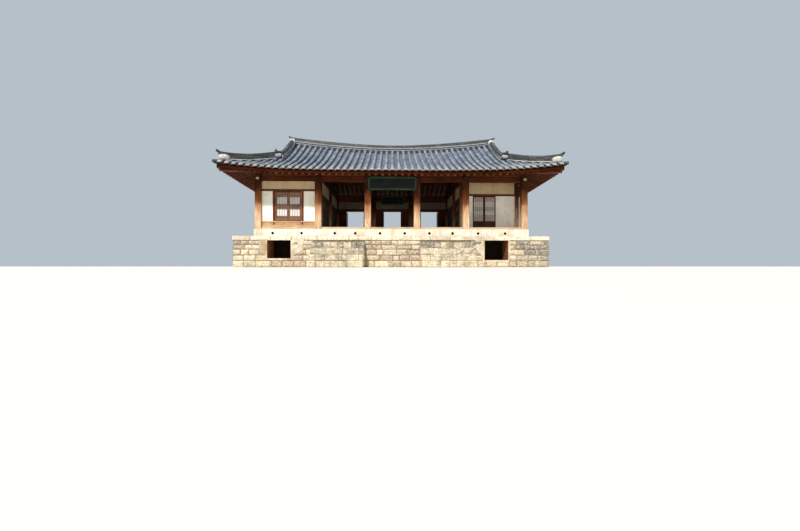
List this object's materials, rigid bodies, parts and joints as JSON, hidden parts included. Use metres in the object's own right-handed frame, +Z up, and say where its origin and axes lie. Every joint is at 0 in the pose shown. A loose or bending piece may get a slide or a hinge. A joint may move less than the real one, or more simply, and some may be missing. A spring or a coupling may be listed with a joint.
{
  "type": "hanok lecture hall with a hip-and-gable tiled roof",
  "caption": "Timber hall under a hip-and-gable tiled roof, on a stone platform with steps and fire holes, open in the middle with a room at each end.",
  "frame": {"origin": "on the ground under the centre of the column grid", "axes": "+X to the right of someone facing the front, +Y from front to back, +Z up"},
  "size_m": [16.02, 9.13, 7.3571],
  "materials": {
    "stone": "coursed rough stone, weathered",
    "timber": "bare weathered pine",
    "lime_plaster": "matt lime plaster",
    "floor_boards": "worn floor boards",
    "roof_tile": "unglazed grey clay tile",
    "ridge_tile": "mossy stacked ridge tile",
    "dark_board": "dark painted board"
  },
  "bodies": {
    "building": {"stone_platform": "stone", "left_stair": "stone", "right_stair": "stone", "underfloor_wall": "lime_plaster", "hall_floor": "floor_boards", "left_room_floor": "floor_boards", "right_room_floor": "floor_boards", "front_column_1": "timber", "front_column_2": "timber", "front_column_3": "timber", "front_column_4": "timber", "front_column_5": "timber", "front_column_6": "timber", "back_column_1": "timber", "back_column_2": "timber", "back_column_3": "timber", "back_column_4": "timber", "back_column_5": "timber", "back_column_6": "timber", "middle_column_1": "timber", "middle_column_2": "timber", "middle_column_3": "timber", "middle_column_4": "timber", "recess_post_1": "timber", "recess_post_2": "timber", "left_room_front_wall": "lime_plaster", "left_room_window": "timber", "wall_left_of_door": "lime_plaster", "wall_right_of_door": "lime_plaster", "wall_over_door": "lime_plaster", "left_end_wall": "lime_plaster", "right_end_wall": "lime_plaster", "left_partition": "lime_plaster", "right_partition": "lime_plaster", "back_wall": "lime_plaster", "tie_beams": "timber", "eave_purlins": "timber", "roof_frame_1": "timber", "roof_frame_2": "timber", "roof_frame_3": "timber", "roof_frame_4": "timber", "front_inner_purlin": "timber", "back_inner_purlin": "timber", "ridge_purlin": "timber", "front_roof_slope": "roof_tile", "back_roof_slope": "roof_tile", "left_roof_skirt": "roof_tile", "right_roof_skirt": "roof_tile", "left_gable": "timber", "right_gable": "timber", "main_ridge": "ridge_tile", "front_right_ridge": "ridge_tile", "front_left_ridge": "ridge_tile", "back_right_ridge": "ridge_tile", "back_left_ridge": "ridge_tile", "outer_name_board": "dark_board", "inner_name_board": "dark_board"},
    "left_leaf": {"left_door_leaf": "timber"},
    "right_leaf": {"right_door_leaf": "timber"}
  },
  "joints": [
    {"name": "left_leaf_hinge", "type": "hinge", "parent": "building", "child": "left_leaf", "pos_m": [4.1775, -1.859, 2.8], "axis": [0, 0, -1], "range_deg": [0, 110]},
    {"name": "right_leaf_hinge", "type": "hinge", "parent": "building", "child": "right_leaf", "pos_m": [5.3725, -1.859, 2.8], "axis": [0, 0, 1], "range_deg": [0, 110]}
  ]
}
